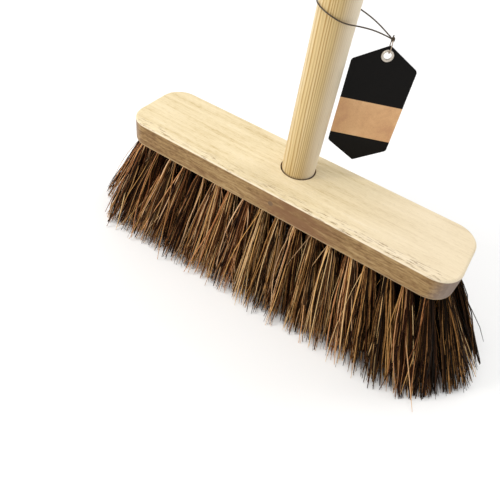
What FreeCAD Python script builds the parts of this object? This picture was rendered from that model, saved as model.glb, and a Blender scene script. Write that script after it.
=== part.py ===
import FreeCAD, Part
import math
import os
import Sketcher
from FreeCAD import Vector

# Push broom: a beech stock filled with five rows of fibre tufts, a long pine handle driven
# into a tapered socket and pinned by a nail, and a card swing tag tied round the handle.
# Millimetres. Origin on the floor under the middle of the bristles, +X along the stock,
# +Y to the back (the side away from the nail), +Z up the handle.

doc = FreeCAD.newDocument("PushBroom")

# ---------------------------------------------------------------- driving dimensions
SIZES = [
    # stock
    ("stock_length", 305), ("stock_width", 71), ("stock_thickness", 22),
    ("corner_radius", 20), ("top_edge_radius", 2.5), ("bottom_edge_radius", 1),
    ("bristle_length", 92),
    # handle
    ("handle_diameter", 28), ("handle_length", 1370),
    ("dome_length", 21), ("dome_tip_diameter", 12), ("dome_tip_radius", 2.5),
    # socket, set back from the middle of the stock: how much narrower than the handle it is
    # at its foot and under its mouth, and how much wider all round at its mouth
    ("socket_setback", 6), ("socket_foot_step", 3.2), ("socket_neck_step", 0.6),
    ("mouth_gap", 1), ("mouth_depth", 3), ("tenon_rise", 1),
    # nail through the front edge of the stock into the handle
    ("nail_diameter", 3.35), ("nail_length", 45), ("nail_head_diameter", 4.6),
    ("nail_head_length", 2.2), ("nail_point_length", 5),
    # tufts, their holes and their anchors
    ("tuft_hole_diameter", 7.5), ("tuft_hole_depth", 12), ("tuft_pitch", 16),
    ("row_inset", 9.5), ("hole_wall", 2), ("tuft_clearance", 0.05),
    ("tuft_tip_diameter", 18), ("fan_length", 50), ("fan_width", 26), ("fan_corner_ease", 0.3),
    ("anchor_diameter", 1.4), ("anchor_length", 11), ("anchor_depth", 2.5),
    # swing tag, hung beside the handle and turned towards the front right
    ("tag_azimuth", 24), ("card_gap", 3), ("knot_height", 232), ("knot_diameter", 3.4),
    ("card_width", 46), ("card_height", 94), ("card_thickness", 0.8),
    ("card_shoulder", 13.8), ("card_corner_radius", 3), ("card_tip_radius", 1.2),
    ("eyelet_from_tip", 7), ("eyelet_bore", 5.4), ("eyelet_barrel", 6),
    ("eyelet_flange", 8.6), ("eyelet_lip", 0.5), ("eyelet_round", 0.2),
    ("ring_diameter", 9), ("ring_wire", 0.7), ("ring_play", 0.3), ("knot_play", 0.4),
    ("cord_diameter", 0.9),
]

sizes = doc.addObject("Spreadsheet::Sheet", "Sizes")
for line, (alias, number) in enumerate(SIZES, start=1):
    sizes.set("A%d" % line, alias)
    sizes.set("B%d" % line, str(number))
    sizes.setAlias("B%d" % line, alias)
doc.recompute()


def value(expression):
    """The number that an expression on the sheet gives, in millimetres or degrees."""
    found = sizes.evalExpression(expression)
    return float(getattr(found, "Value", found))


# ---------------------------------------------------------------- sketch and body helpers
def new_body(node):
    body = doc.addObject("PartDesign::Body", node)
    body.Label = node
    return body


def sketch_on(body, role, name, offset="0"):
    """A sketch on one of the body's own origin planes, moved along that plane's normal."""
    plane = next(f for f in body.Origin.OriginFeatures if f.Role == role)
    sketch = body.newObject("Sketcher::SketchObject", name)
    sketch.AttachmentSupport = [(plane, "")]
    sketch.MapMode = "FlatFace"
    sketch.setExpression("AttachmentOffset.Base.z", offset)
    return sketch


def pin_point(sketch, shape, end, across, up):
    """Hold one point of a sketch at two distances from the sketch's origin."""
    for kind, expression in (("DistanceX", across), ("DistanceY", up)):
        constraint = Sketcher.Constraint(kind, -1, 1, shape, end, value(expression))
        sketch.setExpression("Constraints[%d]" % sketch.addConstraint(constraint), expression)


def draw_outline(sketch, points, arcs=()):
    """A closed outline through points given as pairs of expressions. The side that starts at
    a point listed in arcs is an arc, tangent to the side before it."""
    spots = [Vector(value(across), value(up), 0) for across, up in points]
    first = sketch.GeometryCount
    for i, start in enumerate(spots):
        end = spots[(i + 1) % len(spots)]
        if i in arcs:
            before = (start - spots[i - 1]).normalize()
            chord = end - start
            normal = Vector(-before.y, before.x, 0)
            middle = start + normal * (chord.dot(chord) / (2 * chord.dot(normal)))
            bulge = ((start + end) * 0.5 - middle).normalize() * (start - middle).Length + middle
            sketch.addGeometry(Part.Arc(start, bulge, end), False)
        else:
            sketch.addGeometry(Part.LineSegment(start, end), False)
    starts = [1] * len(spots)
    ends = [2] * len(spots)
    for i in arcs:
        arc = sketch.Geometry[first + i]
        if (arc.StartPoint - spots[i]).Length > (arc.EndPoint - spots[i]).Length:
            starts[i], ends[i] = 2, 1
    for i in range(len(spots)):
        after = (i + 1) % len(spots)
        joined = "Tangent" if after in arcs else "Coincident"
        sketch.addConstraint(Sketcher.Constraint(joined, first + i, ends[i],
                                                 first + after, starts[after]))
        pin_point(sketch, first + i, starts[i], *points[i])


def draw_circles(sketch, centres, radius):
    """Equal circles at centres given as pairs of expressions."""
    first = sketch.GeometryCount
    for across, up in centres:
        middle = Vector(value(across), value(up), 0)
        number = sketch.addGeometry(Part.Circle(middle, Vector(0, 0, 1), value(radius)), False)
        pin_point(sketch, number, 3, across, up)
        if number == first:
            rule = sketch.addConstraint(Sketcher.Constraint("Radius", number, value(radius)))
            sketch.setExpression("Constraints[%d]" % rule, radius)
        else:
            sketch.addConstraint(Sketcher.Constraint("Equal", first, number))


def draw_axis(sketch, start, end):
    """A construction line between two points given as pairs of expressions: Axis0."""
    spots = [Vector(value(across), value(up), 0) for across, up in (start, end)]
    number = sketch.addGeometry(Part.LineSegment(*spots), True)
    pin_point(sketch, number, 1, *start)
    pin_point(sketch, number, 2, *end)


def turn_profile(body, kind, sketch, axis):
    """A Revolution or Groove of a sketch right round one of its axes."""
    turned = body.newObject("PartDesign::" + kind, sketch.Name + kind)
    turned.Profile = sketch
    turned.ReferenceAxis = (sketch, [axis])
    turned.Angle = 360
    doc.recompute()
    return turned


def round_edges(body, name, radius, chosen):
    """Fillet the edges of the body's tip that the test picks out."""
    tip = body.Tip
    names = ["Edge%d" % (i + 1) for i, edge in enumerate(tip.Shape.Edges) if chosen(edge)]
    fillet = body.newObject("PartDesign::Fillet", name)
    fillet.Base = (tip, names)
    fillet.setExpression("Radius", radius)
    doc.recompute()
    return fillet


def removed(body, cut_before):
    """The volume that the body's last feature took away."""
    return cut_before - body.Shape.Volume


# ---------------------------------------------------------------- shared places
UNDERSIDE = "Sizes.bristle_length"
STOCK_TOP = "Sizes.bristle_length + Sizes.stock_thickness"
STOCK_MIDDLE = "Sizes.bristle_length + Sizes.stock_thickness / 2"
FRONT = "-Sizes.stock_width / 2"
MOUTH_FLOOR = "Sizes.bristle_length + Sizes.stock_thickness - Sizes.mouth_depth"
HANDLE_RADIUS = "Sizes.handle_diameter / 2"
SOCKET_FOOT = "(Sizes.handle_diameter - Sizes.socket_foot_step) / 2"
SOCKET_NECK = "(Sizes.handle_diameter - Sizes.socket_neck_step) / 2"
SOCKET_MOUTH = "Sizes.handle_diameter / 2 + Sizes.mouth_gap"
SOCKET_SLOPE = ("((Sizes.socket_foot_step - Sizes.socket_neck_step) / 2"
                " / (Sizes.stock_thickness - Sizes.mouth_depth))")
ROW_PITCH = "(Sizes.stock_width / 2 - Sizes.row_inset) / 2"
NAIL_START = FRONT
NAIL_END = "-Sizes.stock_width / 2 + Sizes.nail_length"


def tuft_places(row):
    """Places along the stock, counted in tuft pitches from its middle, of one row's tufts.
    Rows are staggered by half a pitch. A place is left out where its hole would come too
    close to the stock's rounded outline, the handle's socket or the nail."""
    hole = value("Sizes.tuft_hole_diameter") / 2 + value("Sizes.hole_wall")
    corner = value("Sizes.corner_radius")
    inner_x = value("Sizes.stock_length") / 2 - corner
    inner_y = value("Sizes.stock_width") / 2 - corner
    pitch = value("Sizes.tuft_pitch")
    across = row * value(ROW_PITCH)
    socket = value(SOCKET_MOUTH)
    shift = 0.5 if row % 2 == 0 else 0.0
    most = int(value("Sizes.stock_length") / 2 / pitch) + 1
    places = []
    for step in [k + shift for k in range(-most, most + 1)]:
        along = step * pitch
        past = math.hypot(max(abs(along) - inner_x, 0), max(abs(across) - inner_y, 0))
        from_socket = math.hypot(along, across - value("Sizes.socket_setback"))
        beside_nail = abs(along) > hole + value("Sizes.nail_diameter") / 2
        in_front = across < value(NAIL_END) + hole
        if past + hole <= corner and from_socket >= socket + hole and (beside_nail or not in_front):
            places.append(step)
    return places


ROWS = (-2, -1, 0, 1, 2)
FURTHEST = max(max(tuft_places(row)) for row in ROWS)


# ---------------------------------------------------------------- stock
def nail_outline(sketch):
    """Half of the nail's outline, lying along the sketch's first axis at mid-thickness."""
    head = "%s + Sizes.nail_head_diameter / 2" % STOCK_MIDDLE
    shank = "%s + Sizes.nail_diameter / 2" % STOCK_MIDDLE
    neck = "%s + Sizes.nail_head_length" % NAIL_START
    point = "%s - Sizes.nail_point_length" % NAIL_END
    draw_outline(sketch, [(NAIL_START, STOCK_MIDDLE), (NAIL_START, head), (neck, shank),
                          (point, shank), (NAIL_END, STOCK_MIDDLE)])
    draw_axis(sketch, (NAIL_START, STOCK_MIDDLE), (NAIL_END, STOCK_MIDDLE))


def make_stock():
    body = new_body("broom_stock")
    half_length = "Sizes.stock_length / 2"
    half_width = "Sizes.stock_width / 2"
    plan = sketch_on(body, "XY_Plane", "StockPlan", UNDERSIDE)
    draw_outline(plan, [("-" + half_length, "-" + half_width), (half_length, "-" + half_width),
                        (half_length, half_width), ("-" + half_length, half_width)])
    blank = body.newObject("PartDesign::Pad", "StockBlank")
    blank.Profile = plan
    blank.setExpression("Length", "Sizes.stock_thickness")
    doc.recompute()

    round_edges(body, "StockCorners", "Sizes.corner_radius",
                lambda edge: abs(edge.tangentAt(edge.FirstParameter).z) > 0.9)
    for name, radius, level in (("TopEdge", "Sizes.top_edge_radius", STOCK_TOP),
                                ("BottomEdge", "Sizes.bottom_edge_radius", UNDERSIDE)):
        round_edges(body, name, radius,
                    lambda edge: all(abs(v.Z - value(level)) < 1e-6 for v in edge.Vertexes))

    # the tapered socket, with a mouth opened wider than the handle
    before = body.Shape.Volume
    socket = sketch_on(body, "XZ_Plane", "Socket", "-Sizes.socket_setback")
    draw_outline(socket, [("0", UNDERSIDE), (SOCKET_FOOT, UNDERSIDE), (SOCKET_NECK, MOUTH_FLOOR),
                          (SOCKET_MOUTH, STOCK_TOP), ("0", STOCK_TOP)])
    turn_profile(body, "Groove", socket, "V_Axis")
    print("socket takes %.0f mm3" % removed(body, before))

    before = body.Shape.Volume
    nail_way = sketch_on(body, "YZ_Plane", "NailWay")
    nail_outline(nail_way)
    turn_profile(body, "Groove", nail_way, "Axis0")
    print("nail way takes %.0f mm3" % removed(body, before))

    for row in ROWS:
        before = body.Shape.Volume
        places = tuft_places(row)
        holes = sketch_on(body, "XY_Plane", "TuftHoles%d" % (row + 3), UNDERSIDE)
        draw_circles(holes, [("%s * Sizes.tuft_pitch" % step, "%d * %s" % (row, ROW_PITCH))
                             for step in places], "Sizes.tuft_hole_diameter / 2")
        drilled = body.newObject("PartDesign::Pocket", "TuftDrilling%d" % (row + 3))
        drilled.Profile = holes
        drilled.Reversed = True
        drilled.setExpression("Length", "Sizes.tuft_hole_depth")
        doc.recompute()
        each = math.pi * value("Sizes.tuft_hole_diameter") ** 2 / 4 * value("Sizes.tuft_hole_depth")
        if abs(removed(body, before) - each * len(places)) > 1:
            raise RuntimeError("the tuft holes of row %d are not all cut" % (row + 3))
    return body


# ---------------------------------------------------------------- handle and nail
def make_handle():
    """A turned pole: a tapered end that fills the socket, and a bullet-shaped top."""
    body = new_body("handle")
    foot = "%s + Sizes.tenon_rise" % UNDERSIDE
    crown = "%s + Sizes.tenon_rise + Sizes.handle_length" % UNDERSIDE
    foot_radius = "%s + Sizes.tenon_rise * %s" % (SOCKET_FOOT, SOCKET_SLOPE)
    neck = "%s + Sizes.socket_foot_step / 2 / %s" % (UNDERSIDE, SOCKET_SLOPE)
    profile = sketch_on(body, "XZ_Plane", "HandleProfile", "-Sizes.socket_setback")
    draw_outline(profile, [("0", foot), (foot_radius, foot), (HANDLE_RADIUS, neck),
                           (HANDLE_RADIUS, "%s - Sizes.dome_length" % crown),
                           ("Sizes.dome_tip_diameter / 2", crown), ("0", crown)], arcs=(3,))
    turn_profile(body, "Revolution", profile, "V_Axis")
    round_edges(body, "DomeTip", "Sizes.dome_tip_radius",
                lambda edge: all(abs(v.Z - value(crown)) < 1e-6 for v in edge.Vertexes)
                and edge.Length > 1)

    before = body.Shape.Volume
    nail_way = sketch_on(body, "YZ_Plane", "HandleNailWay")
    nail_outline(nail_way)
    turn_profile(body, "Groove", nail_way, "Axis0")
    print("nail way in the handle takes %.0f mm3" % removed(body, before))
    return body


def make_nail():
    body = new_body("handle_nail")
    profile = sketch_on(body, "YZ_Plane", "NailProfile")
    nail_outline(profile)
    turn_profile(body, "Revolution", profile, "Axis0")
    return body


# ---------------------------------------------------------------- tufts and anchors
def make_circle(name, across, along, level, radius):
    circle = doc.addObject("Part::Circle", name)
    circle.setExpression("Radius", radius)
    circle.setExpression("Placement.Base.x", across)
    circle.setExpression("Placement.Base.y", along)
    circle.setExpression("Placement.Base.z", level)
    return circle


def make_tufts(row):
    """One row of tufts. Each is a round plug in its hole that fans out below the stock and is
    trimmed level at the floor. The fan grows with the distance from the stock's middle, and
    less so in the outer rows, which rounds its corners."""
    root = "Sizes.tuft_hole_diameter / 2 - Sizes.tuft_clearance"
    tufts = []
    for number, step in enumerate(tuft_places(row), start=1):
        name = "Row%dTuft%d" % (row + 3, number)
        mouth_x = "%s * Sizes.tuft_pitch" % step
        mouth_y = "%d * %s" % (row, ROW_PITCH)
        ease = "(1 - Sizes.fan_corner_ease * %s)" % (row * row / max(ROWS) ** 2)
        tip_x = "%s + %s / %s * Sizes.fan_length * %s" % (mouth_x, step, FURTHEST, ease)
        tip_y = "%s + %d / %d * Sizes.fan_width" % (mouth_y, row, max(ROWS))
        hole_end = "%s + Sizes.tuft_hole_depth" % UNDERSIDE
        loft = doc.addObject("Part::Loft", name)
        loft.Sections = [make_circle(name + "Root", mouth_x, mouth_y, hole_end, root),
                         make_circle(name + "Mouth", mouth_x, mouth_y, UNDERSIDE, root),
                         make_circle(name + "Tip", tip_x, tip_y, "0", "Sizes.tuft_tip_diameter / 2")]
        loft.Solid = True
        loft.Ruled = True
        tufts.append(loft)
    group = doc.addObject("Part::Compound", "bristle_row_%d" % (row + 3))
    group.Links = tufts
    return group


def make_anchors(row):
    """Short steel wires driven across the folded end of each tuft, into the wood beside it."""
    wires = []
    for number, step in enumerate(tuft_places(row), start=1):
        wire = doc.addObject("Part::Cylinder", "Row%dAnchor%d" % (row + 3, number))
        wire.Placement = FreeCAD.Placement(Vector(), FreeCAD.Rotation(Vector(1, 0, 0), -90))
        wire.setExpression("Radius", "Sizes.anchor_diameter / 2")
        wire.setExpression("Height", "Sizes.anchor_length")
        wire.setExpression("Placement.Base.x", "%s * Sizes.tuft_pitch" % step)
        wire.setExpression("Placement.Base.y",
                           "%d * %s - Sizes.anchor_length / 2" % (row, ROW_PITCH))
        wire.setExpression("Placement.Base.z",
                           "%s + Sizes.tuft_hole_depth - Sizes.anchor_depth" % UNDERSIDE)
        wires.append(wire)
    group = doc.addObject("Part::Compound", "tuft_anchor_row_%d" % (row + 3))
    group.Links = wires
    return group


# ---------------------------------------------------------------- swing tag
# The tag's pieces share a frame on the handle's axis, turned by the tag's azimuth: X goes out
# from the handle to the tag, Y to the tag's back, and Z is up from the floor.
TAG_X = "(Sizes.handle_diameter / 2 + Sizes.card_gap + Sizes.card_width / 2)"
RING_BOTTOM = "Sizes.knot_height - Sizes.ring_diameter"
RING_MIDDLE = "Sizes.knot_height - Sizes.ring_diameter / 2"
EYELET_Z = "%s - (Sizes.eyelet_bore - Sizes.ring_wire) / 2 + Sizes.ring_play" % RING_BOTTOM
CARD_TIP = "%s + Sizes.eyelet_from_tip" % EYELET_Z


def hang_on_handle(piece):
    piece.setExpression("Placement.Base.y", "Sizes.socket_setback")
    piece.setExpression("Placement.Rotation.Angle", "Sizes.tag_azimuth")


def make_card():
    """A die-cut card with pointed ends and rounded corners, punched for its eyelet."""
    body = new_body("tag_card")
    left = "Sizes.handle_diameter / 2 + Sizes.card_gap"
    right = "Sizes.handle_diameter / 2 + Sizes.card_gap + Sizes.card_width"
    foot = "%s - Sizes.card_height" % CARD_TIP
    high = "%s - Sizes.card_shoulder" % CARD_TIP
    low = "%s + Sizes.card_shoulder" % foot
    outline = sketch_on(body, "XZ_Plane", "CardOutline")
    draw_outline(outline, [(TAG_X, CARD_TIP), (right, high), (right, low), (TAG_X, foot),
                           (left, low), (left, high)])
    sheet = body.newObject("PartDesign::Pad", "CardSheet")
    sheet.Profile = outline
    sheet.Midplane = True
    sheet.setExpression("Length", "Sizes.card_thickness")
    doc.recompute()
    along_y = lambda edge: abs(edge.tangentAt(edge.FirstParameter).y) > 0.9
    at_tip = lambda edge: abs(edge.Vertexes[0].X - value(TAG_X)) < 1e-6
    round_edges(body, "CardCorners", "Sizes.card_corner_radius",
                lambda edge: along_y(edge) and not at_tip(edge))
    round_edges(body, "CardTips", "Sizes.card_tip_radius",
                lambda edge: along_y(edge) and at_tip(edge))
    punch = sketch_on(body, "XZ_Plane", "EyeletPunch")
    draw_circles(punch, [(TAG_X, EYELET_Z)], "Sizes.eyelet_barrel / 2")
    punched = body.newObject("PartDesign::Pocket", "EyeletHole")
    punched.Profile = punch
    punched.Type = "ThroughAll"
    punched.Midplane = True
    doc.recompute()
    hang_on_handle(body)
    return body


def make_eyelet():
    """A pressed metal eyelet: a barrel through the card with a lip rolled over each face."""
    body = new_body("tag_eyelet")
    face = "Sizes.card_thickness / 2"
    lip = "(Sizes.card_thickness / 2 + Sizes.eyelet_lip)"
    bore = "%s + Sizes.eyelet_bore / 2" % EYELET_Z
    barrel = "%s + Sizes.eyelet_barrel / 2" % EYELET_Z
    flange = "%s + Sizes.eyelet_flange / 2" % EYELET_Z
    profile = sketch_on(body, "YZ_Plane", "EyeletProfile", TAG_X)
    draw_outline(profile, [("-" + lip, bore), (lip, bore), (lip, flange + " - Sizes.eyelet_round"),
                           (lip + " - Sizes.eyelet_round", flange), (face, flange),
                           (face, barrel), ("-" + face, barrel), ("-" + face, flange),
                           ("Sizes.eyelet_round - " + lip, flange),
                           ("-" + lip, flange + " - Sizes.eyelet_round")])
    draw_axis(profile, ("-" + lip, EYELET_Z), (lip, EYELET_Z))
    turn_profile(body, "Revolution", profile, "Axis0")
    hang_on_handle(body)
    return body


def ring_section(sketch, radius):
    """A round section at the top of the ring, and the ring's axis as Axis0."""
    draw_circles(sketch, [(TAG_X, "Sizes.knot_height")], radius)
    draw_axis(sketch, (TAG_X + " - Sizes.ring_diameter / 2", RING_MIDDLE),
              (TAG_X + " + Sizes.ring_diameter / 2", RING_MIDDLE))


def make_ring():
    """A wire ring through the eyelet, hanging from the knot, square to the card."""
    body = new_body("tag_ring")
    section = sketch_on(body, "XZ_Plane", "RingSection")
    ring_section(section, "Sizes.ring_wire / 2")
    turn_profile(body, "Revolution", section, "Axis0")
    hang_on_handle(body)
    return body


def make_knot():
    """The knot that joins the cord's ends, with the eye that the ring hangs in."""
    body = new_body("tag_knot")
    top = "Sizes.knot_height + Sizes.knot_diameter / 2"
    bottom = "Sizes.knot_height - Sizes.knot_diameter / 2"
    side = TAG_X + " + Sizes.knot_diameter / 2"
    ball = sketch_on(body, "XZ_Plane", "KnotBall")
    reach, high, low = value(TAG_X), value(top), value(bottom)
    half = Part.Arc(Vector(reach, low, 0), Vector(value(side), (high + low) / 2, 0),
                    Vector(reach, high, 0))
    ball.addGeometry(half, False)
    ball.addGeometry(Part.LineSegment(Vector(reach, high, 0), Vector(reach, low, 0)), False)
    ball.addConstraint(Sketcher.Constraint("Coincident", 0, 2, 1, 1))
    ball.addConstraint(Sketcher.Constraint("Coincident", 1, 2, 0, 1))
    ball.addConstraint(Sketcher.Constraint("PointOnObject", 0, 3, 1))
    pin_point(ball, 1, 1, TAG_X, top)
    pin_point(ball, 1, 2, TAG_X, bottom)
    draw_axis(ball, (TAG_X, bottom), (TAG_X, top))
    turn_profile(body, "Revolution", ball, "Axis0")

    before = body.Shape.Volume
    eye = sketch_on(body, "XZ_Plane", "KnotEye")
    ring_section(eye, "Sizes.ring_wire / 2 + Sizes.knot_play")
    turn_profile(body, "Groove", eye, "Axis0")
    print("the eye takes %.1f mm3 from the knot" % removed(body, before))
    hang_on_handle(body)
    return body


# The cord's route in the tag's frame: from the knot, along the front strand, round the handle
# and back along the rear strand. It clears a handle of the size given above.
CORD_ROUTE = [
    (38.6, -0.5, 232.6), (29.0, -4.9, 236.9), (17.2, -10.1, 239.9), (4.8, -14.9, 241.4),
    (-4.8, -14.9, 244.6), (-12.6, -9.2, 246.8), (-15.6, 0.0, 247.6), (-12.6, 9.2, 247.2),
    (-4.8, 14.9, 246.2), (4.8, 14.9, 244.7), (16.6, 10.6, 242.3), (28.8, 5.1, 238.2),
    (38.6, 0.5, 232.7),
]


def rounded_path(points):
    """Straight runs joined by tangent arcs, each as large as its two runs allow."""
    edges = []
    start = points[0]
    for before, corner, after in zip(points, points[1:], points[2:]):
        back = before - corner
        ahead = after - corner
        reach = 0.45 * min(back.Length, ahead.Length)
        half_turn = (math.pi - back.getAngle(ahead)) / 2
        back.normalize()
        ahead.normalize()
        radius = reach / math.tan(half_turn)
        inward = (back + ahead).normalize()
        entry = corner + back * reach
        leave = corner + ahead * reach
        crest = corner + inward * (radius / math.cos(half_turn) - radius)
        edges.append(Part.LineSegment(start, entry).toShape())
        edges.append(Part.Arc(entry, crest, leave).toShape())
        start = leave
        print("cord turn %5.1f deg, radius %6.1f mm" % (math.degrees(2 * half_turn), radius))
    edges.append(Part.LineSegment(start, points[-1]).toShape())
    return Part.Wire(edges)


def make_cord():
    """A waxed cord of round section, tied round the handle."""
    points = [Vector(*point) for point in CORD_ROUTE]
    path = rounded_path(points)
    radius = value("Sizes.cord_diameter") / 2
    section = Part.Wire(Part.Circle(points[0], points[1] - points[0], radius).toShape())
    tube = path.makePipeShell([section], True, False)
    print("cord length %.1f mm, volume %.2f mm3 for %.2f mm3"
          % (path.Length, tube.Volume, math.pi * radius ** 2 * path.Length))
    cord = doc.addObject("Part::Feature", "tag_cord")
    cord.Shape = tube
    cord.Placement = FreeCAD.Placement(Vector(0, value("Sizes.socket_setback"), 0),
                                       FreeCAD.Rotation(Vector(0, 0, 1), value("Sizes.tag_azimuth")))
    return cord


# ---------------------------------------------------------------- build, check and write
nodes = [make_stock(), make_handle(), make_nail()]
nodes += [make_tufts(row) for row in ROWS]
nodes += [make_anchors(row) for row in ROWS]
nodes += [make_card(), make_eyelet(), make_ring(), make_knot(), make_cord()]
doc.recompute()

for item in doc.Objects:
    if "Invalid" in item.State or "Error" in item.State:
        raise RuntimeError("%s did not build: %s" % (item.Name, item.State))

os.makedirs("parts", exist_ok=True)
for node in nodes:
    shape = node.Shape
    if shape.isNull() or not shape.isValid() or not shape.Solids:
        raise RuntimeError("%s has no valid solid" % node.Label)
    print("%-20s %3d solids %12.1f mm3" % (node.Label, len(shape.Solids), shape.Volume))
for node in nodes:
    node.Shape.exportStep("parts/%s.step" % node.Label)
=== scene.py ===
import math

import bmesh
import bpy
import numpy as np
from mathutils import Matrix, Vector


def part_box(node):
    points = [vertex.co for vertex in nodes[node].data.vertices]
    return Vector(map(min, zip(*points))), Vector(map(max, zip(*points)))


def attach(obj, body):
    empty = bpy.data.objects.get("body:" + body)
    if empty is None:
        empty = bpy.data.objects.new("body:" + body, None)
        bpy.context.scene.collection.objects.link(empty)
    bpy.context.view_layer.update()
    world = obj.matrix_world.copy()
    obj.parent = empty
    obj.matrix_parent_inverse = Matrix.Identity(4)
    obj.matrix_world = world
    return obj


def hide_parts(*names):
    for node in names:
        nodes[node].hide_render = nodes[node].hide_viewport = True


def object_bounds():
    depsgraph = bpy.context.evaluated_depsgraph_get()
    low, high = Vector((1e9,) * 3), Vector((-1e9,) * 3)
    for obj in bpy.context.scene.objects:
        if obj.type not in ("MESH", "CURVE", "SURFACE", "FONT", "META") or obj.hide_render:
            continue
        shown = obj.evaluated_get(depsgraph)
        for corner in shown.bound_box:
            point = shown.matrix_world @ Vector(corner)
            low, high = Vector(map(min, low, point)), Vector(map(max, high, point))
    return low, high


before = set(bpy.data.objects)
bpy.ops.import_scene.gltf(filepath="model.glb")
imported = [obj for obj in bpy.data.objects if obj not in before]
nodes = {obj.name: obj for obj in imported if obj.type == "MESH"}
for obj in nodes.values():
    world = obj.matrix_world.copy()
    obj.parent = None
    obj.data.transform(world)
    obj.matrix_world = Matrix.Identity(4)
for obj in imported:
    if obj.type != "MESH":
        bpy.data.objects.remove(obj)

cad_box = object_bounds()
MM = 0.001


# ---------------------------------------------------------------- camera
# A short lens held close to the broom's head, looking down on it from its front right and
# tipped a little to one side, so that the handle leaves by the top of the frame.
CAMERA_FROM_STOCK = Vector((0.1208, -0.3087, 0.2522))
CAMERA_AZIMUTH = math.radians(25.6)
CAMERA_DOWN = math.radians(47.1)
CAMERA_ROLL = math.radians(10.7)
LENS = 35.6
stock_low, stock_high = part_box("broom_stock")

camera_data = bpy.data.cameras.new("camera")
camera_data.lens = LENS
camera_data.sensor_width = 36
camera_data.clip_start = 0.01
camera = bpy.data.objects.new("camera", camera_data)
bpy.context.scene.collection.objects.link(camera)
stock_top = Vector((0, 0, stock_high.z))
camera.matrix_world = (Matrix.Translation(stock_top + CAMERA_FROM_STOCK)
                       @ Matrix.Rotation(CAMERA_AZIMUTH, 4, "Z")
                       @ Matrix.Rotation(math.pi / 2 - CAMERA_DOWN, 4, "X")
                       @ Matrix.Rotation(CAMERA_ROLL, 4, "Z"))
bpy.context.scene.camera = camera


# ---------------------------------------------------------------- tag cord
# A thin waxed cord, tied in a loop that hangs round the handle and leads both its ends down to
# a knot over the tag. Its route is in millimetres from the handle's axis, turned to face the tag.
TAG_AZIMUTH = math.radians(24)
CORD_DIAMETER = 0.9 * MM
CORD_ROUTE = [
    (38.6, -0.5, 232.6), (29.0, -4.9, 236.9), (17.2, -10.1, 239.9), (4.8, -14.9, 241.4),
    (-4.8, -14.9, 244.6), (-12.6, -9.2, 246.8), (-15.6, 0.0, 247.6), (-12.6, 9.2, 247.2),
    (-4.8, 14.9, 246.2), (4.8, 14.9, 244.7), (16.6, 10.6, 242.3), (28.8, 5.1, 238.2),
    (38.6, 0.5, 232.7),
]
handle_low, handle_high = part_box("handle")
handle_axis = Vector(((handle_low.x + handle_high.x) / 2, (handle_low.y + handle_high.y) / 2, 0))
tag_frame = Matrix.Translation(handle_axis) @ Matrix.Rotation(TAG_AZIMUTH, 4, "Z")

cord_data = bpy.data.curves.new("tag_cord", "CURVE")
cord_data.dimensions = "3D"
cord_data.bevel_depth = CORD_DIAMETER / 2
cord_data.bevel_resolution = 3
cord_data.resolution_u = 16
cord_data.use_fill_caps = True
line = cord_data.splines.new("NURBS")
line.points.add(len(CORD_ROUTE) - 1)
for point, spot in zip(line.points, CORD_ROUTE):
    point.co = (*(tag_frame @ (Vector(spot) * MM)), 1)
line.order_u = 3
line.use_endpoint_u = True
tag_cord = bpy.data.objects.new("tag_cord_line", cord_data)
bpy.context.scene.collection.objects.link(tag_cord)


class Wire:
    """One socket of a finish. Sums on wires add Math nodes."""

    def __init__(self, finish, socket):
        self.finish = finish
        self.socket = socket

    def maths(self, operation, first, second=0.0):
        return self.finish.node("Math", {"operation": operation}, {0: first, 1: second})

    def __add__(self, other):
        return self.maths("ADD", self, other)

    def __radd__(self, other):
        return self.maths("ADD", other, self)

    def __sub__(self, other):
        return self.maths("SUBTRACT", self, other)

    def __rsub__(self, other):
        return self.maths("SUBTRACT", other, self)

    def __mul__(self, other):
        return self.maths("MULTIPLY", self, other)

    def __rmul__(self, other):
        return self.maths("MULTIPLY", other, self)

    def __truediv__(self, other):
        return self.maths("DIVIDE", self, other)

    def __pow__(self, other):
        return self.maths("POWER", self, other)

    def __abs__(self):
        return self.maths("ABSOLUTE", self)

    def fraction(self):
        return self.maths("FRACT", self)

    def step(self, start, end):
        """0 up to start, 1 from end on, and smooth between them. end may be the smaller."""
        return self.finish.node("MapRange", {"interpolation_type": "SMOOTHSTEP"},
                                {"Value": self, "From Min": start, "From Max": end})


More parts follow.
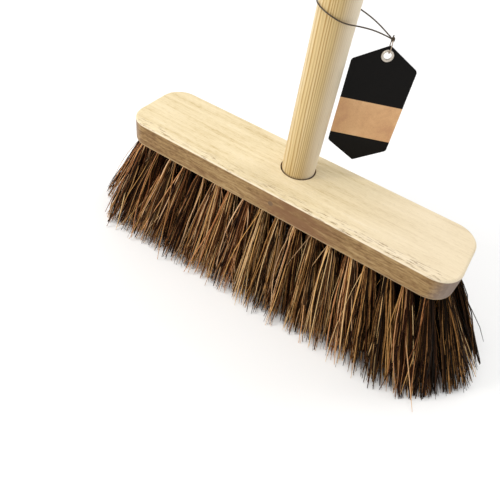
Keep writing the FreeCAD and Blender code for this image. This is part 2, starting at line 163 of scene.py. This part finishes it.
class Finish:
    """One material, built node by node."""

    def __init__(self, name):
        self.material = bpy.data.materials.new(name)
        self.material.use_nodes = True
        self.tree = self.material.node_tree
        self.tree.nodes.clear()

    def node(self, kind, settings, sockets, out=0):
        """Adds a node, with its settings first and then the values or wires of its sockets."""
        made = self.tree.nodes.new("ShaderNode" + kind)
        for name, value in settings.items():
            if name == "stops":
                stops = made.color_ramp.elements
                while len(stops) < len(value):
                    stops.new(0.5)
                for stop, (place, colour) in zip(stops, value):
                    stop.position = place
                    stop.color = (*colour, 1)
            else:
                setattr(made, name, value)
        for name, value in sockets.items():
            if isinstance(value, Wire):
                self.tree.links.new(value.socket, made.inputs[name])
            else:
                made.inputs[name].default_value = value
        return Wire(self, made.outputs[out]) if made.outputs else None

    def place(self, per_metre=(1, 1, 1), offset=(0, 0, 0)):
        """The piece's own coordinates, scaled to so many units of a pattern a metre."""
        here = self.node("TexCoord", {}, {}, out="Object")
        return self.node("Mapping", {}, {"Vector": here, "Location": offset, "Scale": per_metre})

    def part(self, vector, axis):
        return self.node("SeparateXYZ", {}, {0: vector}, out=axis)

    def noise(self, vector, detail=3.0, roughness=0.55, distortion=0.0):
        return self.node("TexNoise", {}, {"Vector": vector, "Scale": 1.0, "Detail": detail,
                                          "Roughness": roughness, "Distortion": distortion})

    def ramp(self, factor, stops):
        return self.node("ValToRGB", {"stops": stops}, {0: factor})

    def blend(self, factor, first, second):
        colours = [value if isinstance(value, Wire) else (*value, 1) for value in (first, second)]
        return self.node("Mix", {"data_type": "RGBA"}, {0: factor, 6: colours[0], 7: colours[1]}, out=2)

    def bump(self, height, strength, distance):
        return self.node("Bump", {}, {"Height": height, "Strength": strength, "Distance": distance})

    def surface(self, sockets):
        shader = self.node("BsdfPrincipled", {}, sockets)
        self.node("OutputMaterial", {}, {"Surface": shader})
        return self.material


def wear(piece, material):
    piece.data.materials.clear()
    piece.data.materials.append(material)


def cord_finish():
    finish = Finish("cord_fibre")
    lay = finish.noise(finish.place((2600, 2600, 1900)), detail=2.0)
    colour = finish.ramp(lay, [(0.3, (0.030, 0.020, 0.012)), (0.7, (0.120, 0.085, 0.055))])
    return finish.surface({"Base Color": colour, "Roughness": 0.5, "Specular IOR Level": 0.3,
                           "Normal": finish.bump(lay, 0.5, 0.0002)})


cord_material = cord_finish()
wear(tag_cord, cord_material)
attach(tag_cord, "loop")
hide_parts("tag_cord")


# ---------------------------------------------------------------- knot
# The cord's two ends are drawn up in a small tight knot over the ring, and cut off short.
# Each turn is a loop of the cord pulled to an oval. Two stubs stick up out of them, clear of
# the card when it swings out.
KNOT_TURN_RADIUS = 0.85 * MM
KNOT_TURNS = [(-0.62, -14, 1.18), (0.0, 12, 1.3), (0.62, -7, 1.12)]     # place, lean, stretch
KNOT_STUBS = [(38, 1.9), (-46, 2.4)]                                    # lean, length
STUB_STEPS = ((0.4, 1.0), (0.35, 1.06), (0.25, 0.9))                    # share of length, width
STUB_BEND = 0.12
STUB_FOOT = (-0.3 * MM, 0, 0.4 * MM)
STUB_TILT = -14
knot_middle = sum(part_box("tag_knot"), Vector()) / 2
knot_place = Matrix.Translation(knot_middle) @ Matrix.Rotation(TAG_AZIMUTH, 4, "Z")


def deselect():
    if bpy.context.object and bpy.context.object.mode != "OBJECT":
        bpy.ops.object.mode_set(mode="OBJECT")
    bpy.ops.object.select_all(action="DESELECT")


def join(parts, name):
    deselect()
    for part in parts:
        part.select_set(True)
    bpy.context.view_layer.objects.active = parts[0]
    bpy.ops.object.join()
    parts[0].name = name
    return parts[0]


knot_parts = []
for along, lean, stretch in KNOT_TURNS:
    deselect()
    bpy.ops.mesh.primitive_torus_add(major_radius=KNOT_TURN_RADIUS, minor_radius=CORD_DIAMETER / 2,
                                     major_segments=20, minor_segments=10)
    loop = bpy.context.object
    bpy.ops.object.mode_set(mode="EDIT")
    bpy.ops.mesh.select_all(action="SELECT")
    bpy.ops.transform.resize(value=(stretch, 1 / stretch, 1))
    bpy.ops.object.mode_set(mode="OBJECT")
    loop.data.transform(knot_place @ Matrix.Translation((along * MM, 0, 0))
                        @ Matrix.Rotation(math.pi / 2, 4, "Y")
                        @ Matrix.Rotation(math.radians(lean), 4, "X"))
    knot_parts.append(loop)
for lean, length in KNOT_STUBS:
    deselect()
    bpy.ops.mesh.primitive_circle_add(vertices=10, radius=CORD_DIAMETER / 2, fill_type="NGON")
    stub = bpy.context.object
    bpy.ops.object.mode_set(mode="EDIT")
    bpy.ops.mesh.select_all(action="SELECT")
    for shift, width in STUB_STEPS:
        bpy.ops.mesh.extrude_region_move(
            TRANSFORM_OT_translate={"value": (STUB_BEND * length * MM, 0, shift * length * MM)})
        bpy.ops.transform.resize(value=(width, width, 1))
    bpy.ops.mesh.select_all(action="SELECT")
    bpy.ops.mesh.normals_make_consistent(inside=False)
    bpy.ops.object.mode_set(mode="OBJECT")
    stub.data.transform(knot_place @ Matrix.Translation(STUB_FOOT)
                        @ Matrix.Rotation(math.radians(lean), 4, "X")
                        @ Matrix.Rotation(math.radians(STUB_TILT), 4, "Y"))
    knot_parts.append(stub)
tag_knot = join(knot_parts, "tag_knot_turns")
bpy.ops.object.shade_smooth_by_angle(angle=math.radians(50))
wear(tag_knot, cord_material)
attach(tag_knot, "loop")
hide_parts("tag_knot")


# ---------------------------------------------------------------- stock
# The block that holds the bristles: pale close-grained hardwood, planed and sanded with no
# varnish. Its faces are creamy. Its edges are browner, with knots and darker heartwood, and the
# cutter has torn the grain along the front top edge. The ends are greyer, cut across the grain.
STOCK_END = 152.5 * MM
STOCK_CORNER = 20 * MM
SOCKET_RADIUS = 15.4 * MM
HEARTWOOD_AT = 0.024
# painted shade: the dark brown of the socket's inner wall and of the handle's foot in it
SOCKET_SHADE_BROWN = (0.120, 0.050, 0.018)


def stock_finish():
    finish = Finish("stock_wood")
    here = finish.place()
    x, y, z = (finish.part(here, axis) for axis in "XYZ")

    # where the edges begin below the rounded top, the round itself (with a painted highlight), their
    # foot, and the ends
    side = z.step(stock_high.z - 0.0018, stock_high.z - 0.0023)
    arris_highlight = z.step(stock_high.z - 0.0004, stock_high.z - 0.0011) * (1 - side)
    foot = z.step(stock_low.z + 0.0022, stock_low.z + 0.0010)
    end = abs(x).step(STOCK_END - STOCK_CORNER + 0.002, STOCK_END - 0.004)

    # creamy faces: long soft bands, short pores and paler flecks along the board
    cloud = finish.noise(finish.place((8, 30, 30)), detail=3.0, distortion=0.8)
    bands = finish.noise(finish.place((7, 210, 210), (3, 0, 0)), detail=5.0, distortion=0.5)
    pores = finish.noise(finish.place((150, 1000, 1000)), detail=3.0, roughness=0.65)
    grain = 0.5 + 1.25 * (0.30 * cloud + 0.34 * bands + 0.36 * pores - 0.5)
    face = finish.ramp(grain, [
        (0.34, (0.476, 0.357, 0.183)), (0.43, (0.620, 0.501, 0.293)),
        (0.50, (0.693, 0.578, 0.365)), (0.57, (0.739, 0.625, 0.412)), (0.68, (0.790, 0.689, 0.501))])
    face = finish.blend(x.step(0.02, 0.13) * 0.4, face, (0.800, 0.690, 0.550))

    # browner edges: wider streaks, dark and reddish knots
    streak = finish.noise(finish.place((13, 260, 260), (0, 2, 0)), detail=5.0, distortion=0.6)
    speck = finish.noise(finish.place((170, 900, 700), (5, 0, 0)), detail=3.0, roughness=0.65)
    edge = finish.ramp(0.55 * streak + 0.45 * speck, [
        (0.38, (0.162, 0.085, 0.036)), (0.46, (0.255, 0.153, 0.065)),
        (0.53, (0.332, 0.212, 0.092)), (0.62, (0.425, 0.289, 0.140))])
    knot = finish.noise(finish.place((30, 75, 75), (1.7, 0, 0.4)), detail=4.0, distortion=1.5)
    edge = finish.blend(knot.step(0.50, 0.70) * 0.60, edge, (0.149, 0.068, 0.030))
    heart = abs(x - HEARTWOOD_AT).step(0.050, 0.012) * (0.35 + 0.5 * knot.step(0.40, 0.58))
    edge = finish.blend(heart, edge, (0.215, 0.108, 0.052))
    across = finish.noise(finish.place((330, 330, 90)), detail=3.0)
    end_grain = finish.ramp(across, [(0.3, (0.250, 0.190, 0.160)), (0.7, (0.340, 0.268, 0.232))])
    edge = finish.blend(end * 0.85, edge, end_grain)
    edge = finish.blend(foot * 0.5, edge, (0.527, 0.383, 0.221))
    # painted highlight: the rounded top edge is made paler, as if caught by the lamp above
    face = finish.blend(arris_highlight * 0.8, face, (0.816, 0.705, 0.527))
    wood = finish.blend(side, face, edge)

    # torn grain: short dark dashes beside the front top edge, finer pores all over, and painted
    # shade in the socket, a dark brown
    front = y.step(-0.0215, -0.0315) * (1 - end) * z.step(0.1105, 0.1130)
    tear = finish.noise(finish.place((85, 900, 700), (0, 0, 5)), detail=3.0, roughness=0.7)
    torn = finish.noise(finish.place((14, 60, 1), (2, 0, 0)), detail=2.0).step(0.40, 0.60)
    nick = tear.step(0.555, 0.64) * front * (0.25 + 0.75 * torn)
    wood = finish.blend(nick * 0.85, wood, (0.230, 0.128, 0.051))
    pore = pores.step(0.585, 0.68) * (1 - front)
    wood = finish.blend(pore * 0.30, wood, (0.357, 0.255, 0.128))
    off_y = y - handle_axis.y
    socket_wall_shade = ((x * x + off_y * off_y) ** 0.5).step(SOCKET_RADIUS, SOCKET_RADIUS - 0.0004)
    # painted shade: the socket's inner wall, a recess, is darkened to dark brown
    wood = finish.blend(socket_wall_shade * 0.93, wood, SOCKET_SHADE_BROWN)
    height = 0.5 * bands + 0.4 * pores - 1.6 * nick
    return finish.surface({"Base Color": wood, "Roughness": 0.55 + 0.18 * pores,
                           "Specular IOR Level": 0.15, "Normal": finish.bump(height, 0.5, 0.0005)})


wear(nodes["broom_stock"], stock_finish())


# ---------------------------------------------------------------- handle
# A long pole turned from straight-grained softwood and sanded smooth. Its growth rings run
# the whole length, so they show as stripes: fine where they are cut square, and wide and
# wavy where they are cut flat. One side is paler with a painted highlight, and the foot in
# its socket is darkened with painted shade.
RING_PITH = (0.046, 0.030)
RING_LEAN = 0.012
RING_SPACING = 1.45 * MM


def handle_finish():
    finish = Finish("handle_wood")
    here = finish.place()
    x, y, z = (finish.part(here, axis) for axis in "XYZ")
    sway = finish.noise(finish.place((75, 75, 3.2)), detail=2.0)
    waver = finish.noise(finish.place((170, 170, 16), (0, 6, 0)), detail=2.0)
    fine = finish.noise(finish.place((1300, 1300, 14)), detail=3.0, roughness=0.6)
    from_pith_x = x - RING_PITH[0] + RING_LEAN * z
    from_pith_y = y - RING_PITH[1]
    radius = (from_pith_x * from_pith_x + from_pith_y * from_pith_y) ** 0.5
    rings = radius / RING_SPACING + 2.4 * sway + 0.9 * waver + 0.22 * fine
    ring = rings.fraction()
    late = ring.step(0.30, 0.88) * ring.step(1.0, 0.92)
    vigour = finish.noise(finish.place((300, 300, 2.5), (0, 0, 9)), detail=2.0)
    warmth = finish.noise(finish.place((60, 60, 2.0), (4, 0, 0)), detail=2.0)
    pale = finish.ramp(warmth, [(0.35, (0.595, 0.442, 0.204)), (0.50, (0.654, 0.501, 0.255)),
                                (0.65, (0.705, 0.570, 0.340))])
    dark = finish.ramp(warmth, [(0.35, (0.355, 0.205, 0.058)), (0.65, (0.450, 0.290, 0.105))])
    # painted highlight: the right side is paler and its rings fainter, as if lit from behind
    rim_highlight = (0.90 * x + 0.42 * (y - handle_axis.y)).step(-0.001, 0.012)
    wood = finish.blend(late * vigour.step(0.15, 0.55) * (1 - 0.5 * rim_highlight), pale, dark)
    wood = finish.blend(rim_highlight * 0.7, wood, (0.930, 0.840, 0.690))
    vessel = finish.noise(finish.place((2100, 2100, 40)), detail=2.0).step(0.58, 0.74)
    wood = finish.blend(vessel * 0.35, wood, (0.400, 0.250, 0.090))
    # painted shade: the foot inside the socket is darkened to dark brown
    socket_foot_shade = z.step(stock_high.z + 0.0003, stock_high.z - 0.0008)
    wood = finish.blend(socket_foot_shade * 0.92, wood, SOCKET_SHADE_BROWN)
    height = 0.4 * late + 0.5 * fine - 0.5 * vessel
    return finish.surface({"Base Color": wood, "Roughness": 0.48 + 0.16 * fine,
                           "Specular IOR Level": 0.2, "Normal": finish.bump(height, 0.3, 0.0004)})


wear(nodes["handle"], handle_finish())


# ---------------------------------------------------------------- nail and tuft anchors
# Drawn steel wire: the nail, driven through the stock's front edge into the handle and
# stained brown with the wood, and the short wires that hold each tuft's fold in its hole.
def wire_finish(name, dark, light, metallic, roughness):
    finish = Finish(name)
    scratch = finish.noise(finish.place((2200, 260, 2200)), detail=3.0)
    colour = finish.ramp(scratch, [(0.3, dark), (0.7, light)])
    return finish.surface({"Base Color": colour, "Metallic": metallic,
                           "Roughness": roughness + 0.2 * scratch,
                           "Normal": finish.bump(scratch, 0.2, 0.0001)})


wear(nodes["handle_nail"], wire_finish("nail_steel", (0.120, 0.066, 0.030), (0.220, 0.135, 0.070),
                                       0.0, 0.7))
anchor_steel = wire_finish("anchor_steel", (0.33, 0.33, 0.34), (0.52, 0.52, 0.53), 1.0, 0.3)
for node_name in sorted(nodes):
    if node_name.startswith("tuft_anchor"):
        wear(nodes[node_name], anchor_steel)


# ---------------------------------------------------------------- bristles
# Stiff dry palm fibre, near black to straw. Each hole in the stock holds a folded bundle whose
# free ends fan out, bend, cross their neighbours and end unevenly. One fibre is modelled,
# and all the others are bent copies of it.
ENDS_PER_TUFT = 125
HOLE_RADIUS = 3.4 * MM
ROOT_DEPTH = 2 * MM
TUFT_SPREAD = 13.5 * MM
SCATTER = 2.8 * MM
STRAY_SHARE = 0.045
STRAY_SCATTER = (22 * MM, 9 * MM, 0)
SWEPT = 10 * MM
CORNER_REACH = 222 * MM
CORNER_PULL = 0.42
PROUD = (15 * MM, 8 * MM)
FIBRE_LENGTH = 106 * MM
BROKEN_SHARE = 0.09
KINKED_SHARE = 0.14
SPLIT_SHARE = 0.06
random = np.random.default_rng(41)


def one_fibre():
    """A slim five-sided rod from 0 to 1 up its own axis, in six short lengths."""
    deselect()
    bpy.ops.mesh.primitive_cylinder_add(vertices=5, radius=1, depth=1, location=(0, 0, 0.5))
    rod = bpy.context.object
    bpy.ops.object.transform_apply(location=True)
    bpy.ops.object.mode_set(mode="EDIT")
    bpy.ops.mesh.select_mode(type="EDGE")
    bpy.ops.mesh.select_all(action="DESELECT")
    shape = bmesh.from_edit_mesh(rod.data)
    for edge in shape.edges:
        edge.select = abs(edge.verts[0].co.z - edge.verts[1].co.z) > 0.5
    bmesh.update_edit_mesh(rod.data)
    bpy.ops.mesh.subdivide(number_cuts=5)
    bpy.ops.object.mode_set(mode="OBJECT")
    points = np.array([corner.co for corner in rod.data.vertices])
    faces = [tuple(face.vertices) for face in rod.data.polygons]
    bpy.data.objects.remove(rod)
    return points, faces


def tufts_of(node):
    """The middle of each tuft, where it leaves the stock and where it ends, from left to right."""
    shape = bmesh.new()
    shape.from_mesh(node.data)
    bmesh.ops.remove_doubles(shape, verts=shape.verts, dist=1e-6)
    seen = set()
    tufts = []
    for first in shape.verts:
        if first in seen:
            continue
        solid, waiting = {first}, [first]
        while waiting:
            for edge in waiting.pop().link_edges:
                for corner in edge.verts:
                    if corner not in solid:
                        solid.add(corner)
                        waiting.append(corner)
        seen |= solid
        spots = np.array([corner.co for corner in solid])
        rims = [spots[np.abs(spots[:, 2] - level) < 1e-4] for level in (stock_low.z, 0.0)]
        tufts.append([(rim.min(0) + rim.max(0)) / 2 for rim in rims])
    shape.free()
    tufts.sort(key=lambda tuft: tuft[0][0])
    return np.array(tufts)


def chance(count):
    return random.uniform(0, 1, count)


def unit(vectors):
    return vectors / np.linalg.norm(vectors, axis=-1, keepdims=True)


def each(values):
    """One value a fibre, shaped to go with points that are listed by fibre, corner and axis."""
    return values[:, None, None]


def fan_out(tufts, count):
    """Where each fibre leaves the stock, where it would meet the floor, and how it lies there."""
    root, end = (np.repeat(tufts[:, level], ENDS_PER_TUFT, axis=0) for level in (0, 1))
    angle, out = 2 * math.pi * chance(count), np.sqrt(chance(count))
    ray = np.stack([np.cos(angle), np.sin(angle), np.zeros(count)], axis=1)
    root = root + ray * (out * HOLE_RADIUS)[:, None] + (0, 0, ROOT_DEPTH)
    end = end + ray * (out * TUFT_SPREAD)[:, None] + random.normal(0, SCATTER, (count, 3))
    stray = chance(count) < STRAY_SHARE
    end[stray] += random.normal(0, 1, (stray.sum(), 3)) * STRAY_SCATTER

    # all lean a little to the right, the corners are rounded, and none stands far out
    toward_right = np.clip(end[:, 0] / cad_box[1][0], 0, 1)
    end[:, 0] += SWEPT * (0.8 + toward_right ** 3)
    past_corner = np.clip(np.abs(end[:, :2]).sum(1) - CORNER_REACH, 0, None)[:, None]
    end[:, :2] -= np.sign(end[:, :2]) * CORNER_PULL * past_corner
    for axis in (0, 1):
        end[:, axis] = np.clip(end[:, axis], cad_box[0][axis] - PROUD[axis],
                               cad_box[1][axis] + PROUD[axis])
    return root, end, stray, toward_right


def cut_ends(root, end, count):
    """Ends the fibres unevenly: one that ends short lies on the same line, only cut sooner."""
    short = random.gamma(1.3, 2.2 * MM, count)
    short = short + (chance(count) < BROKEN_SHARE) * (6 + 30 * chance(count)) * MM
    lean = np.linalg.norm(end[:, :2] - root[:, :2], axis=1)
    too_far = stock_low.z * (1 - FIBRE_LENGTH / np.hypot(lean, stock_low.z))
    short = np.clip(short + np.maximum(too_far, 0), 0.3 * MM, 0.6 * stock_low.z)
    end[:, :2] = root[:, :2] + (end[:, :2] - root[:, :2]) * (1 - short / stock_low.z)[:, None]
    end[:, 2] = short


def bend(root, end, stray, t):
    """Each fibre's line and its direction: a long bow, a small ripple, and in some a kink."""
    count = len(root)
    straight = (end - root)[:, None]
    line = root[:, None] + straight * t
    slope = np.broadcast_to(straight, line.shape).copy()
    bow = random.normal(0, 1.6 * MM, (count, 1, 2))
    bow[stray] *= 2.2
    ripple = random.normal(0, 0.6 * MM, (count, 1, 2))
    kink = random.normal(0, 8 * MM, (count, 1, 2)) * each(chance(count) < KINKED_SHARE)
    past = np.clip(t - each(0.3 + 0.5 * chance(count)), 0, 1)
    line[..., :2] += bow * np.sin(math.pi * t) + ripple * np.sin(3 * math.pi * t) + kink * past
    slope[..., :2] += math.pi * (bow * np.cos(math.pi * t) + 3 * ripple * np.cos(3 * math.pi * t))
    slope[..., :2] += kink * (past > 0)
    return line, unit(slope)


def thicken(line, along, rod, t):
    """The rod's corners set round each line: most round, some split flat, all tapering."""
    count = len(line)
    wide = (0.25 + 0.33 * chance(count) ** 1.6) * MM
    thick = wide * (0.6 + 0.4 * chance(count))
    flat = chance(count) < SPLIT_SHARE
    wide[flat] = (0.7 + 0.5 * chance(count)[flat]) * MM
    thick[flat] = 0.30 * MM
    turn = each(math.pi * chance(count))
    across = unit(np.cross(along, (0.0, 1.0, 0.0)))
    back = np.cross(along, across)
    taper = 1 - 0.45 * np.clip((t - 0.8) / 0.2, 0, 1)
    corner_x = rod[:, 0][None, :, None] * each(wide) * taper
    corner_y = rod[:, 1][None, :, None] * each(thick) * taper
    points = (line + corner_x * (across * np.cos(turn) + back * np.sin(turn))
              + corner_y * (back * np.cos(turn) - across * np.sin(turn)))
    points[..., 2] = np.maximum(points[..., 2], 0.0)
    return points, flat


def make_row(node, name, rod, faces):
    tufts = tufts_of(node)
    count = len(tufts) * ENDS_PER_TUFT
    bundle = np.repeat(random.uniform(0, 1, (len(tufts), 2)), ENDS_PER_TUFT, axis=0)
    t = rod[:, 2][None, :, None]
    root, end, stray, toward_right = fan_out(tufts, count)
    cut_ends(root, end, count)
    line, along = bend(root, end, stray, t)
    points, flat = thicken(line, along, rod, t)
    stride = len(rod)
    mesh = bpy.data.meshes.new(name)
    mesh.from_pydata(points.reshape(-1, 3).tolist(), [],
                     [tuple(corner + fibre * stride for corner in face)
                      for fibre in range(count) for face in faces])

    # a tuft's fibres are alike, split ones are dark, strays pale, and the right end darker with painted
    # shade
    right_end_shade = toward_right ** 2
    tone = 0.86 * chance(count) + 0.20 * bundle[:, 0] - 0.26 * right_end_shade
    tone[flat] *= 0.6
    tone[stray] += 0.25
    tint = np.ones((count, stride, 4))
    tint[..., 0] = tone[:, None]
    tint[..., 1] = (0.6 * chance(count) + 0.4 * bundle[:, 1] - 0.3 * right_end_shade)[:, None]
    tint[..., 2] = rod[:, 2][None]
    mesh.color_attributes.new("fibre", "FLOAT_COLOR", "POINT").data.foreach_set("color", tint.ravel())
    row = bpy.data.objects.new(name, mesh)
    bpy.context.scene.collection.objects.link(row)
    deselect()
    row.select_set(True)
    bpy.context.view_layer.objects.active = row
    bpy.ops.object.shade_smooth_by_angle(angle=math.radians(75))
    return row


def fibre_finish():
    """The fibre attribute holds its lightness, its redness and the way from root to tip; lightness
    and redness are lowered at the right end by painted shade. The fibres in the middle of the
    head are a little paler."""
    finish = Finish("fibre")
    fibre = finish.node("Attribute", {"attribute_name": "fibre"}, {}, out="Color")
    tone, redness, along = (finish.part(fibre, axis) for axis in "XYZ")
    streak = finish.noise(finish.place((900, 900, 60)), detail=3.0)
    middle = abs(finish.part(finish.place(), "X")).step(0.17, 0.03)
    tone = tone + 0.30 * (streak - 0.5) + 0.05 * (along - 0.5) + 0.028 * middle
    straw = finish.ramp(tone, [
        (0.00, (0.006, 0.003, 0.001)), (0.36, (0.014, 0.006, 0.002)), (0.53, (0.070, 0.030, 0.010)),
        (0.65, (0.300, 0.142, 0.043)), (0.80, (0.610, 0.335, 0.115)), (0.95, (0.740, 0.495, 0.235))])
    copper = finish.ramp(tone, [
        (0.00, (0.009, 0.003, 0.001)), (0.36, (0.024, 0.007, 0.003)), (0.53, (0.100, 0.032, 0.011)),
        (0.65, (0.300, 0.118, 0.042)), (0.80, (0.590, 0.290, 0.125)), (0.95, (0.720, 0.450, 0.250))])
    colour = finish.blend(redness.step(0.35, 0.65), straw, copper)
    return finish.surface({"Base Color": colour, "Roughness": 0.42 + 0.22 * streak,
                           "Specular IOR Level": 0.06, "Normal": finish.bump(streak, 0.35, 0.0003)})


rod, rod_faces = one_fibre()
fibre_material = fibre_finish()
for number in range(1, 6):
    node_name = "bristle_row_%d" % number
    row = make_row(nodes[node_name], "fibres_row_%d" % number, rod, rod_faces)
    wear(row, fibre_material)
    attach(row, "broom")
    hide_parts(node_name)


# ---------------------------------------------------------------- tag card
# Stiff card, die-cut to a long hexagon and printed matt black, but for a band across the
# middle that is left as bare kraft board. Nothing is written on it.
card_low, card_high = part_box("tag_card")
card_height = card_high.z - card_low.z
BAND_TOP = card_high.z - 0.456 * card_height
BAND_FOOT = card_high.z - 0.77 * card_height
BAND_EDGE = 0.1 * MM


def card_finish():
    finish = Finish("card_black")
    z = finish.part(finish.place(), "Z")
    band = (z.step(BAND_FOOT - BAND_EDGE, BAND_FOOT + BAND_EDGE)
            * z.step(BAND_TOP + BAND_EDGE, BAND_TOP - BAND_EDGE))
    pulp = finish.noise(finish.place((1100, 1100, 1100)), detail=4.0, roughness=0.7)
    cloud = finish.noise(finish.place((70, 70, 55)), detail=4.0, distortion=0.6)
    kraft = finish.ramp(0.4 * pulp + 0.6 * cloud, [
        (0.36, (0.590, 0.330, 0.175)), (0.50, (0.680, 0.410, 0.210)), (0.64, (0.760, 0.490, 0.265))])
    ink = finish.ramp(pulp, [(0.3, (0.0022, 0.0020, 0.0020)), (0.7, (0.0048, 0.0043, 0.0042))])
    colour = finish.blend(band, ink, kraft)
    return finish.surface({"Base Color": colour, "Roughness": 0.55 + 0.3 * band,
                           "Specular IOR Level": 0.12, "Normal": finish.bump(pulp, 0.12, 0.0002)})


wear(nodes["tag_card"], card_finish())


# ---------------------------------------------------------------- eyelet and ring
# A pressed eyelet lines the card's hole and a thin wire ring joins it to the knot. Both are
# plated steel, the eyelet bright and the ring a little browner.
def plate_finish(name, dark, light):
    finish = Finish(name)
    scratch = finish.noise(finish.place((1500, 1500, 1500)), detail=3.0)
    colour = finish.ramp(scratch, [(0.3, dark), (0.7, light)])
    return finish.surface({"Base Color": colour, "Metallic": 1.0, "Roughness": 0.22 + 0.18 * scratch,
                           "Normal": finish.bump(scratch, 0.1, 0.0001)})


wear(nodes["tag_eyelet"], plate_finish("eyelet_metal", (0.42, 0.37, 0.31), (0.66, 0.61, 0.54)))
wear(nodes["tag_ring"], plate_finish("ring_metal", (0.33, 0.26, 0.20), (0.52, 0.43, 0.35)))


# ---------------------------------------------------------------- floor and lights
# A plain pale floor under a white studio: a large soft light overhead on the left, a low one
# at the front left for the bristles, and a weak one behind.
FLOOR_SIZE = 60


def floor_finish():
    finish = Finish("floor")
    tone = finish.noise(finish.place((3, 3, 3)), detail=2.0)
    colour = finish.ramp(tone, [(0.3, (0.885, 0.885, 0.885)), (0.7, (0.90, 0.90, 0.90))])
    return finish.surface({"Base Color": colour, "Roughness": 0.9})


deselect()
bpy.ops.mesh.primitive_plane_add(size=FLOOR_SIZE)
floor = bpy.context.object
floor.name = "floor"
wear(floor, floor_finish())


def soft_light(name, place, aim, size, watts, tint=(1, 1, 1)):
    light = bpy.data.lights.new(name, "AREA")
    light.shape = "DISK"
    light.size = size
    light.energy = watts
    light.color = tint
    lamp = bpy.data.objects.new(name, light)
    bpy.context.scene.collection.objects.link(lamp)
    lamp.matrix_world = (Matrix.Translation(place)
                         @ (Vector(aim) - Vector(place)).to_track_quat("-Z", "Y").to_matrix().to_4x4())


soft_light("overhead", (-0.5, -0.3, 2.2), (0, 0, 0.1), 1.1, 24, (1.0, 0.99, 0.97))
soft_light("front", (-1.3, -1.2, 0.8), (0, 0, 0.05), 0.6, 15, (1.0, 0.96, 0.91))
soft_light("back", (0.9, 1.4, 1.3), (0, 0, 0.2), 1.0, 10)

world = bpy.data.worlds.new("studio")
world.use_nodes = True
world.node_tree.nodes["Background"].inputs["Color"].default_value = (1.0, 1.0, 1.0, 1.0)
world.node_tree.nodes["Background"].inputs["Strength"].default_value = 0.6
bpy.context.scene.world = world
bpy.context.scene.view_settings.view_transform = "Standard"
